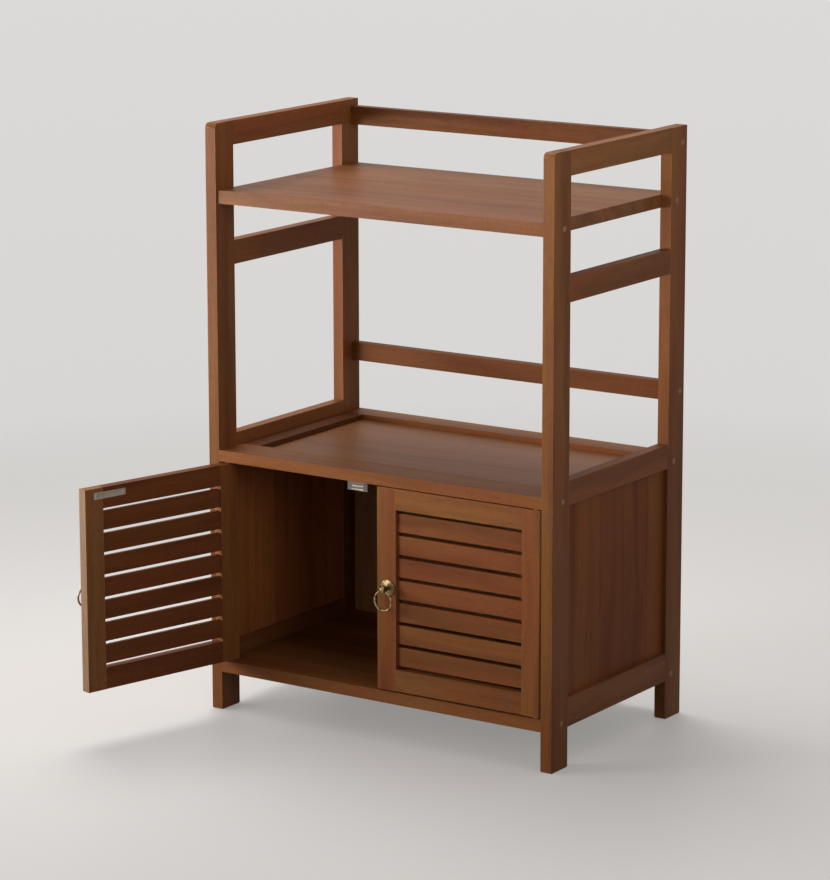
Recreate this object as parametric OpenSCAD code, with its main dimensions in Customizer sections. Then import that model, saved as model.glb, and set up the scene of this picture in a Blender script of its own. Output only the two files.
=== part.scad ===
// Kitchen cabinet: an open rack above a cupboard with two louvred doors on pivot pins.
// Millimetres. The origin is on the floor, in the middle of the four feet.
// +X is to the right, +Y to the back and +Z up. The doors are at the front.

/* [Overall] */
// Width over the two side frames
body_w = 600; // [480:10:900]
// Depth over the front and rear posts
body_d = 366; // [310:2:500]
// Height of the posts
body_h = 888; // [720:2:1100]

/* [Side frames] */
// Thickness of the posts and side rails
post_t = 18; // [16.5:0.5:24]
// Width of a post, seen from the side
post_w = 44; // [40:1:60]
// Radius of the top front corner of a front post
post_round = 8; // [2:1:14]
// Chamfer at the front and back of each foot
foot_ease = 2; // [1:0.5:4]
// Height of the top, middle and lower side rails
side_rail_h = 36; // [28:1:50]
// Height of the bottom side rail
bottom_rail_h = 43; // [36:0.5:60]
// Distance of the middle side rail's top below the top of the posts
middle_rail_drop = 178; // [140:2:250]
// Length of the tenons of the side rails
tenon_l = 10; // [6:1:12]
// Thickness of the tenons of the side rails
tenon_t = 8; // [6:0.5:10]
// Step from the edge of a rail to its tenon
tenon_step = 4; // [2:0.5:8]
// Thickness of a side panel
side_panel_t = 7; // [5:0.5:8]
// Distance of a side panel behind the outer face of its frame
side_panel_recess = 8; // [5:0.5:8.5]

/* [Shelf and back rails] */
// Distance of the shelf's top below the top of the posts
shelf_drop = 98.5; // [60:0.5:130]
// Thickness of the shelf
shelf_t = 19.5; // [17:0.5:24]
// Distance of the shelf's front edge behind the front of the posts
shelf_front_inset = 3; // [0:0.5:8]
// Distance of the shelf's back edge from the back of the posts
shelf_back_inset = 9; // [0:0.5:16]
// Thickness of the two back rails
back_rail_t = 15; // [13:0.5:20]
// Distance of the back rails from the back of the posts
back_rail_inset = 5; // [2:0.5:10]
// Height of the back top rail
back_top_rail_h = 28; // [20:1:36]
// Distance of the back top rail's top below the top of the posts
back_top_rail_drop = 10.5; // [4:0.5:20]
// Height of the back middle rail
back_middle_rail_h = 28; // [20:1:40]
// Underside of the back middle rail above the cabinet top
back_middle_rail_rise = 80; // [40:1:90]

/* [Cabinet top] */
// Top surface of the cabinet top's frame above the floor
top_z = 400.5; // [390:0.5:430]
// Thickness of the cabinet top's frame
top_t = 17; // [16:0.5:24]
// Width of the front member
top_front_w = 57; // [48:1:80]
// Width of the back member
top_back_w = 39; // [39:1:60]
// Width of the left and right members
top_side_w = 33; // [24:1:50]
// Thickness of the sunken panel
top_panel_t = 6; // [4:0.5:7]
// Distance of the sunken panel below the frame
top_sink = 8; // [4:0.5:8.5]

/* [Cabinet floor and back] */
// Top surface of the cabinet floor above the floor of the room
floor_z = 77; // [70:0.5:120]
// Thickness of the front and back rails of the cabinet floor
floor_t = 18; // [16:0.5:26]
// Width of the front rail of the cabinet floor
floor_front_w = 50; // [42:1:70]
// Width of the back rail of the cabinet floor
floor_back_w = 44; // [40:1:60]
// Thickness of the floor panel
floor_panel_t = 12; // [9:0.5:14]
// Thickness of the floor panel's tongue, and its step from the panel's faces
floor_tongue_t = 5; // [3:0.5:6]
// Thickness of the back panel
back_panel_t = 6; // [4:0.5:8]
// Distance of the back panel from the back of the posts
back_panel_inset = 8; // [6:0.5:9]
// Depth of the grooves that hold the panels
groove_depth = 6; // [4:0.5:7]

/* [Cross bolts] */
// Diameter of a bolt's shank
bolt_d = 5; // [4:0.5:6]
// Diameter of a bolt's head
bolt_head_d = 8.5; // [7.5:0.1:9.5]
// Height of a bolt's head
bolt_head_h = 5; // [3:0.5:7]
// Width across the corners of the socket in a bolt's head
bolt_socket_d = 4.5; // [3:0.1:5]
// Depth of the socket in a bolt's head
bolt_socket_depth = 2.8; // [1.5:0.1:2.9]
// Room around a bolt's shank and head, on the radius
bolt_play = 0.25; // [0.1:0.05:0.5]
// Distance from a bolt's axis to the tenons beside it
bolt_to_tenon = 7; // [6:0.5:9]
// Distance of a barrel nut from the end of its board
nut_inset = 30; // [18:1:45]
// Diameter of a barrel nut
nut_d = 8; // [8:0.5:9]
// Length of a barrel nut
nut_l = 11; // [8:0.5:12]
// Length of a bolt past its barrel nut
bolt_past_nut = 3; // [1:0.5:6]
// Thickness of a bolt cap
cap_t = 1.4; // [1:0.1:3]
// Height of a bolt cap above the post
cap_proud = 0.4; // [0.1:0.1:1]

/* [Doors] */
// Thickness of the doors
door_t = 15; // [13:0.5:18]
// Distance of the closed doors behind the front of the posts
door_inset = 1.5; // [0.5:0.5:4]
// Gap between a door and its side frame
door_side_gap = 1.5; // [1.4:0.1:3]
// Gap between the two doors
door_middle_gap = 2.5; // [1.5:0.5:6]
// Gap above and below a door
door_end_gap = 2; // [1.5:0.1:3]
// Width of a door's stiles
stile_w = 32; // [28:1:50]
// Height of a door's top rail
door_top_rail_h = 31.4; // [26:0.2:60]
// Height of a door's bottom rail
door_bottom_rail_h = 32.2; // [24:0.2:60]
// Length of the tenons of a door's rails
door_tenon_l = 10; // [6:0.5:12]
// Thickness of the tenons of a door's rails
door_tenon_t = 6; // [4:0.5:7]
// Number of slats in a door
slat_count = 7; // [4:1:9]
// Open gap above and below each slat
slat_gap = 5.3; // [3:0.1:9]
// Thickness of a slat
slat_t = 6.5; // [5:0.5:8]
// Distance of the slats behind the door's front face
slat_inset = 4.5; // [2:0.5:6]
// Depth of the housings that hold the slats in the stiles
housing_depth = 6; // [4:0.5:9]
// Angle that the left door stands open
left_open = 105; // [0:1:109]

/* [Pivots] */
// Diameter of a pivot pin
pin_d = 5; // [4:0.5:6]
// Distance of the pivot pins from the door's hinge edge
pin_inset = 10; // [9.5:0.5:12]
// Radius of the hinge stile's front edge, which turns past the side frame
hinge_round = 4; // [3.5:0.5:6]
// Length of a pivot pin inside the door
pin_in_door = 15; // [10:1:25]
// Length of a pivot pin inside its bush
pin_in_bush = 7; // [5:0.5:8]
// Room around a pivot pin in its bush, on the radius
pin_play = 0.05; // [0.02:0.01:0.1]
// Outer diameter of a pivot bush
bush_d = 8; // [7.5:0.5:10]
// Length of a pivot bush in the board
bush_l = 8; // [8:0.5:11]
// Diameter of a pivot bush's flange
bush_flange_d = 12; // [11:0.5:14]
// Gap between a door and the flanges of its bushes
flange_gap = 0.3; // [0.2:0.05:0.5]
// Room around pressed-in pieces and screws, on the radius
press_play = 0.02; // [0.01:0.01:0.05]

/* [Handles] */
// Distance of a handle from the door's meeting edge
handle_inset = 18; // [15:0.5:20]
// Height of the handle's eye above the floor of the room
handle_z = 232.5; // [180:0.5:300]
// Diameter of the handle plate
plate_d = 24; // [18:0.5:27]
// Thickness of the handle plate's rim
plate_t = 1.2; // [0.8:0.1:2]
// Height of the handle plate's dome above its rim
plate_dome = 2; // [1:0.1:3]
// Diameter of the handle's neck
neck_d = 6.5; // [5:0.5:7.5]
// Distance of the eye's middle from the door's face
eye_out = 12; // [11:0.5:16]
// Diameter of the eye's ball
eye_d = 13; // [12:0.5:15]
// Width of the eye between its flat sides
eye_w = 8; // [7:0.5:9]
// Distance of the hole below the ball's middle
eye_hole_drop = 2.6; // [2:0.1:2.8]
// Diameter of the ring over its outside
ring_d = 32; // [28:0.5:40]
// Diameter of the ring's wire
ring_wire_d = 3; // [2.5:0.1:3.2]
// Room around the ring in the eye, on the radius
ring_play = 0.25; // [0.15:0.05:0.4]
// Diameter of the handle's stud in the door
stud_d = 3; // [2.5:0.1:4]
// Length of the handle's stud in the door
stud_l = 11; // [8:0.5:12]

/* [Catches] */
// Distance of a catch's middle from the door's meeting edge
catch_inset = 43.5; // [33:0.25:120]
// Width of a catch
catch_w = 35; // [34:1:45]
// Depth of a catch, front to back
catch_depth = 13; // [11:0.5:20]
// Height of a catch
catch_h = 18; // [16:0.5:24]
// Height of the pole plates' middle below the cabinet top
catch_drop = 13.5; // [12:0.5:14]
// Width of a pole plate
pole_w = 21; // [16:0.5:22]
// Thickness of a pole plate
pole_t = 1.2; // [0.8:0.1:1.6]
// Distance between the middles of the two pole plates
pole_pitch = 5; // [4:0.5:6]
// Depth of the pole plates inside the catch
pole_depth = 9; // [6:0.5:10]
// Distance that the pole plates stand out of the catch
pole_proud = 0.4; // [0.2:0.1:1]
// Gap between the pole plates and the strike plate of a closed door
catch_gap = 0.3; // [0.2:0.05:0.6]
// Width of a strike plate
strike_w = 57; // [48:1:60]
// Height of a strike plate
strike_h = 10; // [7:0.5:12]
// Thickness of a strike plate
strike_t = 1.2; // [0.8:0.1:2]
// Diameter of the screws of the catches and strike plates
screw_d = 2.5; // [2:0.1:3]
// Diameter of the heads of those screws
screw_head_d = 5; // [4:0.1:5.4]
// Height of the heads of those screws
screw_head_h = 1; // [0.6:0.1:1.6]
// Depth of a catch's screws in the cabinet top
catch_screw_l = 10; // [6:0.5:12]
// Depth of a strike plate's screws in the door
strike_screw_l = 9; // [6:0.5:11]
// Distance of a screw's axis from the end of a catch or strike plate
screw_edge = 4; // [3.5:0.1:5]

/* [Hidden] */
$fn = 64;

// Length by which a cut reaches past the wood it opens
past = 1;

// Planes of the carcass
side_x = body_w / 2;
inner_x = side_x - post_t;
front_y = -body_d / 2;
back_y = body_d / 2;
rail_end_y = back_y - post_w;

// Levels of the carcass
top_under_z = top_z - top_t;
floor_under_z = floor_z - floor_t;
top_rail_z = body_h - side_rail_h;
middle_rail_z = body_h - middle_rail_drop - side_rail_h;
shelf_z = body_h - shelf_drop;
back_top_rail_z = body_h - back_top_rail_drop - back_top_rail_h;
back_middle_rail_z = top_z + back_middle_rail_rise;
lower_rail_z = top_under_z;
bottom_rail_z = floor_under_z;
panel_low_z = bottom_rail_z + bottom_rail_h;
top_panel_z = top_z - top_sink - top_panel_t;
tongue_low_z = floor_z - (floor_panel_t + floor_tongue_t) / 2;
tongue_high_z = tongue_low_z + floor_tongue_t;

// Tenons and panels inside the left frame, and the back panel
tenon_x = -side_x + (post_t - tenon_t) / 2;
panel_x = -side_x + side_panel_recess;
back_panel_y = back_y - back_panel_inset - back_panel_t;

// Each side rail as its underside and its height
side_rails = [
    [top_rail_z, side_rail_h],
    [middle_rail_z, side_rail_h],
    [lower_rail_z, side_rail_h],
    [bottom_rail_z, bottom_rail_h]
];

// Places of the cross bolts, as [y, z]
bolt_front_y = front_y + post_w - tenon_l - bolt_to_tenon;
board_bolt_ys = [bolt_front_y, -bolt_front_y];
shelf_places = [for (y = board_bolt_ys) [y, shelf_z - shelf_t / 2]];
top_places = [for (y = board_bolt_ys) [y, top_z - top_t / 2]];
floor_places = [for (y = board_bolt_ys) [y, floor_z - floor_t / 2]];
back_rail_y = back_y - back_rail_inset - back_rail_t / 2;
rail_places = [
    [back_rail_y, back_top_rail_z + back_top_rail_h / 2],
    [back_rail_y, back_middle_rail_z + back_middle_rail_h / 2]
];
cap_sunk = cap_t - cap_proud;
bolt_sink = cap_sunk + bolt_head_h;
nut_from_side = post_t + nut_inset;

// Doors
door_w = inner_x - door_side_gap - door_middle_gap / 2;
door_z = floor_z + door_end_gap;
door_h = top_under_z - floor_z - 2 * door_end_gap;
slats_low = door_bottom_rail_h;
slats_h = door_h - door_bottom_rail_h - door_top_rail_h;
slat_h = (slats_h - (slat_count + 1) * slat_gap) / slat_count;
slat_y = slat_inset;
door_tenon_y = (door_t - door_tenon_t) / 2;

// Pivots
pivot_x = -inner_x + door_side_gap + pin_inset;
pivot_y = front_y + door_inset + door_t / 2;
bush_flange_t = door_end_gap - flange_gap;

// Handles
ring_r = (ring_d - ring_wire_d) / 2;
ring_sag = ring_r - sqrt(ring_r * ring_r - eye_w * eye_w / 4);
eye_hole_r = ring_wire_d / 2 + ring_sag + ring_play;
handle_x = door_w - handle_inset;
plate_h = plate_t + plate_dome;
dome_r = (plate_d * plate_d / 4 + plate_dome * plate_dome) / (2 * plate_dome);

// Catches
strike_back = door_t + strike_t;
pole_front_y = front_y + door_inset + strike_back + catch_gap;
catch_front_y = pole_front_y + pole_proud;
catch_along = door_w - catch_inset;
catch_x = -inner_x + door_side_gap + catch_along;
pole_z = top_under_z - catch_drop;
strike_z = pole_z - door_z;
catch_screw_x = catch_w / 2 - screw_edge;
strike_screw_x = strike_w / 2 - screw_edge;

// Colours as seen in the photograph
lit_wood = [0.53, 0.33, 0.20];
side_wood = [0.35, 0.22, 0.14];
top_wood = [0.47, 0.31, 0.21];
slat_wood = [0.45, 0.27, 0.18];
dark_wood = [0.26, 0.14, 0.08];
cap_brown = [0.42, 0.29, 0.19];
brass = [0.60, 0.50, 0.30];
steel = [0.70, 0.70, 0.68];
catch_grey = [0.62, 0.62, 0.56];

// A box between two opposite corners
module span(low, high) {
    translate(low)
        cube(high - low);
}

// The children and their mirror image on the other side of the cabinet
module both_sides() {
    children();
    mirror([1, 0, 0])
        children();
}

// A cylinder along X that starts at the left frame's outer face and points inwards
module bolt_rod(place, start, end, d, sides = $fn) {
    translate([-side_x + start, place[0], place[1]])
        rotate([0, 90, 0])
            cylinder(h = end - start, d = d, $fn = sides);
}

// Room for one cross bolt in a post and in the board behind it
module bolt_hole(place) {
    bolt_rod(place, -past, bolt_sink, bolt_head_d + 2 * bolt_play);
    bolt_rod(place, 0, nut_from_side + bolt_past_nut + past, bolt_d + 2 * bolt_play);
}

// Room for a barrel nut, opening at the underside of a board
module nut_hole(place, board_t) {
    translate([-side_x + nut_from_side, place[0], place[1] - board_t / 2 - past])
        cylinder(h = board_t / 2 + past + nut_l / 2, d = nut_d + 2 * press_play);
}

// Room for a barrel nut, opening at the back of a back rail
module rail_nut_hole(place) {
    translate([-side_x + nut_from_side, place[0] - nut_l / 2, place[1]])
        rotate([-90, 0, 0])
            cylinder(h = nut_l / 2 + back_rail_t / 2 + past, d = nut_d + 2 * press_play);
}

module bolt(place) {
    difference() {
        union() {
            bolt_rod(place, cap_sunk, bolt_sink, bolt_head_d);
            bolt_rod(place, cap_sunk, nut_from_side + bolt_past_nut, bolt_d);
        }
        bolt_rod(place, cap_sunk - past, cap_sunk + bolt_socket_depth, bolt_socket_d, 6);
    }
}

// A barrel nut along Z, or along Y where it is turned
module barrel_nut(place, turned = false) {
    difference() {
        translate([-side_x + nut_from_side, place[0], place[1]])
            rotate([turned ? 90 : 0, 0, 0])
                cylinder(h = nut_l, d = nut_d, center = true);
        bolt_rod(place, nut_from_side - nut_d, nut_from_side + nut_d, bolt_d + 2 * press_play);
    }
}

// Outline of a post seen from the side, outer edge at the origin
module post_outline(corner_r) {
    difference() {
        union() {
            square([post_w, body_h - corner_r]);
            translate([corner_r, body_h - corner_r - past])
                square([post_w - corner_r, corner_r + past]);
            if (corner_r > 0)
                translate([corner_r, body_h - corner_r])
                    circle(corner_r);
        }
        for (edge = [0, post_w])
            translate([edge, 0])
                rotate(45)
                    square(foot_ease * sqrt(2), center = true);
    }
}

// The left front post, which is also the rear post once mirrored
module corner_post(corner_r) {
    post_end_y = front_y + post_w;
    difference() {
        translate([-side_x, front_y, 0])
            rotate([90, 0, 90])
                linear_extrude(post_t)
                    post_outline(corner_r);
        for (rail = side_rails)
            span([tenon_x, post_end_y - tenon_l, rail[0] + tenon_step],
                 [tenon_x + tenon_t, post_end_y + past, rail[0] + rail[1] - tenon_step]);
        span([panel_x, post_end_y - groove_depth, panel_low_z],
             [panel_x + side_panel_t, post_end_y + past, lower_rail_z]);
        for (level = [shelf_places[0], top_places[0], floor_places[0]])
            bolt_hole(level);
    }
}

module rear_post() {
    difference() {
        mirror([0, 1, 0])
            corner_post(0);
        span([-inner_x - groove_depth, back_panel_y, floor_z],
             [-inner_x + past, back_panel_y + back_panel_t, top_under_z]);
        for (place = rail_places)
            bolt_hole(place);
    }
}

// A side rail with its tenons, and a groove for the panel below or above it
module side_rail(low_z, height, groove_below = false, groove_above = false) {
    groove_z = groove_below ? low_z - past : low_z + height - groove_depth;
    difference() {
        union() {
            span([-side_x, -rail_end_y, low_z], [-inner_x, rail_end_y, low_z + height]);
            span([tenon_x, -rail_end_y - tenon_l, low_z + tenon_step],
                 [tenon_x + tenon_t, rail_end_y + tenon_l, low_z + height - tenon_step]);
        }
        if (groove_below || groove_above)
            span([panel_x, -rail_end_y, groove_z],
                 [panel_x + side_panel_t, rail_end_y, groove_z + groove_depth + past]);
    }
}

module side_panel() {
    span([panel_x, -rail_end_y - groove_depth, panel_low_z],
         [panel_x + side_panel_t, rail_end_y + groove_depth, lower_rail_z]);
    span([panel_x, -rail_end_y, panel_low_z - groove_depth],
         [panel_x + side_panel_t, rail_end_y, lower_rail_z + groove_depth]);
}

module shelf_board() {
    difference() {
        span([-inner_x, front_y + shelf_front_inset, shelf_z - shelf_t],
             [inner_x, back_y - shelf_back_inset, shelf_z]);
        both_sides()
            for (place = shelf_places) {
                bolt_hole(place);
                nut_hole(place, shelf_t);
            }
    }
}

// A back rail between the side frames, held by one bolt in each end
module back_rail(place, height) {
    difference() {
        span([-inner_x, place[0] - back_rail_t / 2, place[1] - height / 2],
             [inner_x, place[0] + back_rail_t / 2, place[1] + height / 2]);
        both_sides() {
            bolt_hole(place);
            rail_nut_hole(place);
        }
    }
}

// An upright cylinder on the left pivot's axis
module bush_sleeve(d, length) {
    translate([pivot_x, pivot_y, 0])
        cylinder(h = length, d = d);
}

module pivot_bush() {
    difference() {
        union() {
            translate([0, 0, -bush_flange_t])
                bush_sleeve(bush_flange_d, bush_flange_t);
            bush_sleeve(bush_d, bush_l);
        }
        translate([0, 0, -bush_flange_t - past])
            bush_sleeve(pin_d + 2 * pin_play, bush_l + bush_flange_t + 2 * past);
    }
}

module front_member() {
    end_y = front_y + top_front_w;
    difference() {
        span([-inner_x, front_y, top_under_z], [inner_x, end_y, top_z]);
        span([-inner_x - past, end_y - groove_depth, top_panel_z],
             [inner_x + past, end_y + past, top_panel_z + top_panel_t]);
        both_sides() {
            bolt_hole(top_places[0]);
            nut_hole(top_places[0], top_t);
            translate([0, 0, top_under_z])
                bush_sleeve(bush_d + 2 * press_play, bush_l);
            catch_screw_rods(screw_d + 2 * press_play, top_under_z, top_under_z + catch_screw_l);
        }
    }
}

module back_member() {
    start_y = back_y - top_back_w;
    difference() {
        span([-inner_x, start_y, top_under_z], [inner_x, back_y, top_z]);
        span([-inner_x - past, start_y - past, top_panel_z],
             [inner_x + past, start_y + groove_depth, top_panel_z + top_panel_t]);
        span([-inner_x - past, back_panel_y, top_under_z - past],
             [inner_x + past, back_panel_y + back_panel_t, top_under_z + groove_depth]);
        both_sides() {
            bolt_hole(top_places[1]);
            nut_hole(top_places[1], top_t);
        }
    }
}

// The left member, with a tongue in the grooves of the front and back members
module side_member() {
    end_x = -inner_x + top_side_w;
    low_y = front_y + top_front_w;
    high_y = back_y - top_back_w;
    difference() {
        span([-inner_x, low_y, top_under_z], [end_x, high_y, top_z]);
        span([end_x - groove_depth, low_y - past, top_panel_z],
             [end_x + past, high_y + past, top_panel_z + top_panel_t]);
        for (place = top_places)
            bolt_hole(place);
    }
    span([-inner_x, low_y - groove_depth, top_panel_z],
         [end_x - groove_depth, high_y + groove_depth, top_panel_z + top_panel_t]);
}

module sunken_panel() {
    half_w = inner_x - top_side_w + groove_depth;
    span([-half_w, front_y + top_front_w - groove_depth, top_panel_z],
         [half_w, back_y - top_back_w + groove_depth, top_panel_z + top_panel_t]);
}

module floor_front() {
    end_y = front_y + floor_front_w;
    difference() {
        span([-inner_x, front_y, floor_under_z], [inner_x, end_y, floor_z]);
        span([-inner_x - past, end_y - groove_depth, tongue_low_z],
             [inner_x + past, end_y + past, tongue_high_z]);
        both_sides() {
            bolt_hole(floor_places[0]);
            nut_hole(floor_places[0], floor_t);
            translate([0, 0, floor_z - bush_l])
                bush_sleeve(bush_d + 2 * press_play, bush_l + past);
        }
    }
}

module floor_back() {
    start_y = back_y - floor_back_w;
    difference() {
        span([-inner_x, start_y, floor_under_z], [inner_x, back_y, floor_z]);
        span([-inner_x - past, start_y - past, tongue_low_z],
             [inner_x + past, start_y + groove_depth, tongue_high_z]);
        span([-inner_x - past, back_panel_y, floor_z - groove_depth],
             [inner_x + past, back_panel_y + back_panel_t, floor_z + past]);
        both_sides() {
            bolt_hole(floor_places[1]);
            nut_hole(floor_places[1], floor_t);
        }
    }
}

module floor_board() {
    low_y = front_y + floor_front_w;
    high_y = back_y - floor_back_w;
    span([-inner_x, low_y, floor_z - floor_panel_t], [inner_x, high_y, floor_z]);
    span([-inner_x, low_y - groove_depth, tongue_low_z],
         [inner_x, high_y + groove_depth, tongue_high_z]);
}

module back_board() {
    high_y = back_panel_y + back_panel_t;
    span([-inner_x - groove_depth, back_panel_y, floor_z],
         [inner_x + groove_depth, high_y, top_under_z]);
    span([-inner_x, back_panel_y, floor_z - groove_depth],
         [inner_x, high_y, top_under_z + groove_depth]);
}

// The left door's own frame: hinge edge on x = 0, front face on y = 0, underside on z = 0
module on_left_door(angle) {
    translate([pivot_x, pivot_y, door_z])
        rotate([0, 0, -angle])
            translate([-pin_inset, -door_t / 2, 0])
                children();
}

module on_right_door() {
    mirror([1, 0, 0])
        on_left_door(0)
            children();
}

// Housings for the slats and mortises for the rails, at a stile's inner edge
module stile_sockets() {
    for (i = [0 : slat_count - 1])
        slat(i);
    door_rail(0, door_bottom_rail_h);
    door_rail(door_h - door_top_rail_h, door_top_rail_h);
}

module slat(i) {
    low_z = slats_low + slat_gap + i * (slat_h + slat_gap);
    span([stile_w - housing_depth, slat_y, low_z],
         [door_w - stile_w + housing_depth, slat_y + slat_t, low_z + slat_h]);
}

// A door rail with its tenons
module door_rail(low_z, height) {
    span([stile_w, 0, low_z], [door_w - stile_w, door_t, low_z + height]);
    span([stile_w - door_tenon_l, door_tenon_y, low_z + tenon_step],
         [door_w - stile_w + door_tenon_l, door_tenon_y + door_tenon_t,
          low_z + height - tenon_step]);
}

// The two pivot pins, or the room for them in the stile
module pin_rods(d, reach) {
    translate([pin_inset, door_t / 2, 0]) {
        translate([0, 0, -reach])
            cylinder(h = pin_in_door + reach, d = d);
        translate([0, 0, door_h - pin_in_door])
            cylinder(h = pin_in_door + reach, d = d);
    }
}

module hinge_stile() {
    difference() {
        linear_extrude(door_h)
            union() {
                translate([hinge_round, 0])
                    square([stile_w - hinge_round, door_t]);
                translate([0, hinge_round])
                    square([stile_w, door_t - hinge_round]);
                translate([hinge_round, hinge_round])
                    circle(hinge_round);
            }
        stile_sockets();
        pin_rods(pin_d + 2 * press_play, past);
    }
}

module meeting_stile() {
    difference() {
        span([door_w - stile_w, 0, 0], [door_w, door_t, door_h]);
        stile_sockets();
        strike_screw_rods(screw_d + 2 * press_play, door_t - strike_screw_l, door_t + past);
        handle_rod(stud_d + 2 * press_play, -stud_l, past);
    }
}

module door_top_rail() {
    difference() {
        door_rail(door_h - door_top_rail_h, door_top_rail_h);
        strike_screw_rods(screw_d + 2 * press_play, door_t - strike_screw_l, door_t + past);
    }
}

module door_bottom_rail() {
    door_rail(0, door_bottom_rail_h);
}

module slats() {
    for (i = [0 : slat_count - 1])
        slat(i);
}

module pivot_pins() {
    pin_rods(pin_d, door_end_gap + pin_in_bush);
}

// A cylinder on the handle's axis, from one distance out of the face to another
module handle_rod(d, from, to) {
    translate([handle_x, -from, handle_z - door_z])
        rotate([90, 0, 0])
            cylinder(h = to - from, d = d);
}

module handle_plate() {
    difference() {
        union() {
            handle_rod(plate_d, 0, plate_t);
            intersection() {
                translate([handle_x, dome_r - plate_h, handle_z - door_z])
                    sphere(dome_r, $fn = 128);
                handle_rod(plate_d, plate_t / 2, plate_h);
            }
            handle_rod(neck_d, plate_t, eye_out);
            handle_rod(stud_d, -stud_l, plate_t);
            intersection() {
                translate([handle_x, -eye_out, handle_z - door_z])
                    sphere(d = eye_d);
                translate([handle_x, -eye_out, handle_z - door_z])
                    cube([eye_w, 2 * eye_d, 2 * eye_d], center = true);
            }
        }
        translate([handle_x, -eye_out, handle_z - door_z - eye_hole_drop])
            rotate([0, 90, 0])
                cylinder(h = eye_w + 2 * past, r = eye_hole_r, center = true);
    }
}

module ring() {
    translate([handle_x, -eye_out, handle_z - door_z - eye_hole_drop - ring_r])
        rotate([90, 0, 0])
            rotate_extrude()
                translate([ring_r, 0])
                    circle(d = ring_wire_d, $fn = 32);
}

module strike_plate() {
    difference() {
        span([catch_along - strike_w / 2, door_t, strike_z - strike_h / 2],
             [catch_along + strike_w / 2, strike_back, strike_z + strike_h / 2]);
        strike_screw_rods(screw_d + 2 * press_play, door_t - past, strike_back + past);
    }
}

// The two screws of a strike plate, as rods along Y between two depths in the door
module strike_screw_rods(d, from, to) {
    for (side = [-1, 1])
        translate([catch_along + side * strike_screw_x, from, strike_z])
            rotate([-90, 0, 0])
                cylinder(h = to - from, d = d);
}

// The heads lie on the plate's ends, past the sides of the catch
module strike_screws() {
    strike_screw_rods(screw_d, door_t - strike_screw_l, strike_back);
    strike_screw_rods(screw_head_d, strike_back, strike_back + screw_head_h);
}

// The two pole plates of the left catch
module pole_plates() {
    for (side = [-1, 1])
        span([catch_x - pole_w / 2, pole_front_y, pole_z + side * pole_pitch / 2 - pole_t / 2],
             [catch_x + pole_w / 2, catch_front_y + pole_depth,
              pole_z + side * pole_pitch / 2 + pole_t / 2]);
}

// The two screws of the left catch, as upright rods between two levels
module catch_screw_rods(d, low_z, high_z) {
    for (side = [-1, 1])
        translate([catch_x + side * catch_screw_x, catch_front_y + catch_depth / 2, low_z])
            cylinder(h = high_z - low_z, d = d);
}

module catch_housing() {
    low_z = top_under_z - catch_h;
    difference() {
        span([catch_x - catch_w / 2, catch_front_y, low_z],
             [catch_x + catch_w / 2, catch_front_y + catch_depth, top_under_z]);
        pole_plates();
        catch_screw_rods(screw_d + 2 * press_play, low_z - past, top_under_z + past);
        catch_screw_rods(screw_head_d + 2 * press_play, low_z - past, low_z + screw_head_h);
    }
}

module catch_screw_pair() {
    low_z = top_under_z - catch_h;
    catch_screw_rods(screw_d, low_z, top_under_z + catch_screw_l);
    catch_screw_rods(screw_head_d, low_z, low_z + screw_head_h);
}

module left_front_post() { color(lit_wood) corner_post(post_round); }
module left_rear_post() { color(side_wood) rear_post(); }
module left_top_rail() { color(side_wood) side_rail(top_rail_z, side_rail_h); }
module left_middle_rail() { color(side_wood) side_rail(middle_rail_z, side_rail_h); }
module left_lower_rail() {
    color(side_wood)
        side_rail(lower_rail_z, side_rail_h, groove_below = true);
}

module left_bottom_rail() {
    color(side_wood)
        side_rail(bottom_rail_z, bottom_rail_h, groove_above = true);
}

module left_side_panel() { color(side_wood) side_panel(); }

module right_front_post() { mirror([1, 0, 0]) left_front_post(); }
module right_rear_post() { mirror([1, 0, 0]) left_rear_post(); }
module right_top_rail() { mirror([1, 0, 0]) left_top_rail(); }
module right_middle_rail() { mirror([1, 0, 0]) left_middle_rail(); }
module right_lower_rail() { mirror([1, 0, 0]) left_lower_rail(); }
module right_bottom_rail() { mirror([1, 0, 0]) left_bottom_rail(); }
module right_side_panel() { mirror([1, 0, 0]) left_side_panel(); }

module shelf() { color(top_wood) shelf_board(); }
module back_top_rail() { color(lit_wood) back_rail(rail_places[0], back_top_rail_h); }
module back_middle_rail() { color(lit_wood) back_rail(rail_places[1], back_middle_rail_h); }

module top_front_member() { color(lit_wood) front_member(); }
module top_back_member() { color(top_wood) back_member(); }
module top_left_member() { color(top_wood) side_member(); }
module top_right_member() { mirror([1, 0, 0]) top_left_member(); }
module top_panel() { color(top_wood) sunken_panel(); }

module floor_front_rail() { color(lit_wood) floor_front(); }
module floor_back_rail() { color(dark_wood) floor_back(); }
module floor_panel() { color(dark_wood) floor_board(); }
module back_panel() { color(dark_wood) back_board(); }

module shelf_bolts() { color(steel) both_sides() for (place = shelf_places) bolt(place); }
module top_bolts() { color(steel) both_sides() for (place = top_places) bolt(place); }
module floor_bolts() { color(steel) both_sides() for (place = floor_places) bolt(place); }
module back_rail_bolts() { color(steel) both_sides() for (place = rail_places) bolt(place); }

module barrel_nuts() {
    color(steel)
        both_sides() {
            for (place = concat(shelf_places, top_places, floor_places))
                barrel_nut(place);
            for (place = rail_places)
                barrel_nut(place, turned = true);
        }
}

module bolt_caps() {
    color(cap_brown)
        both_sides()
            for (place = concat(shelf_places, top_places, floor_places, rail_places))
                bolt_rod(place, -cap_proud, cap_sunk, bolt_head_d);
}

module upper_pivot_bushes() {
    color(brass)
        both_sides()
            translate([0, 0, top_under_z])
                pivot_bush();
}

module lower_pivot_bushes() {
    color(brass)
        both_sides()
            translate([0, 0, floor_z])
                mirror([0, 0, 1])
                    pivot_bush();
}

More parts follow.
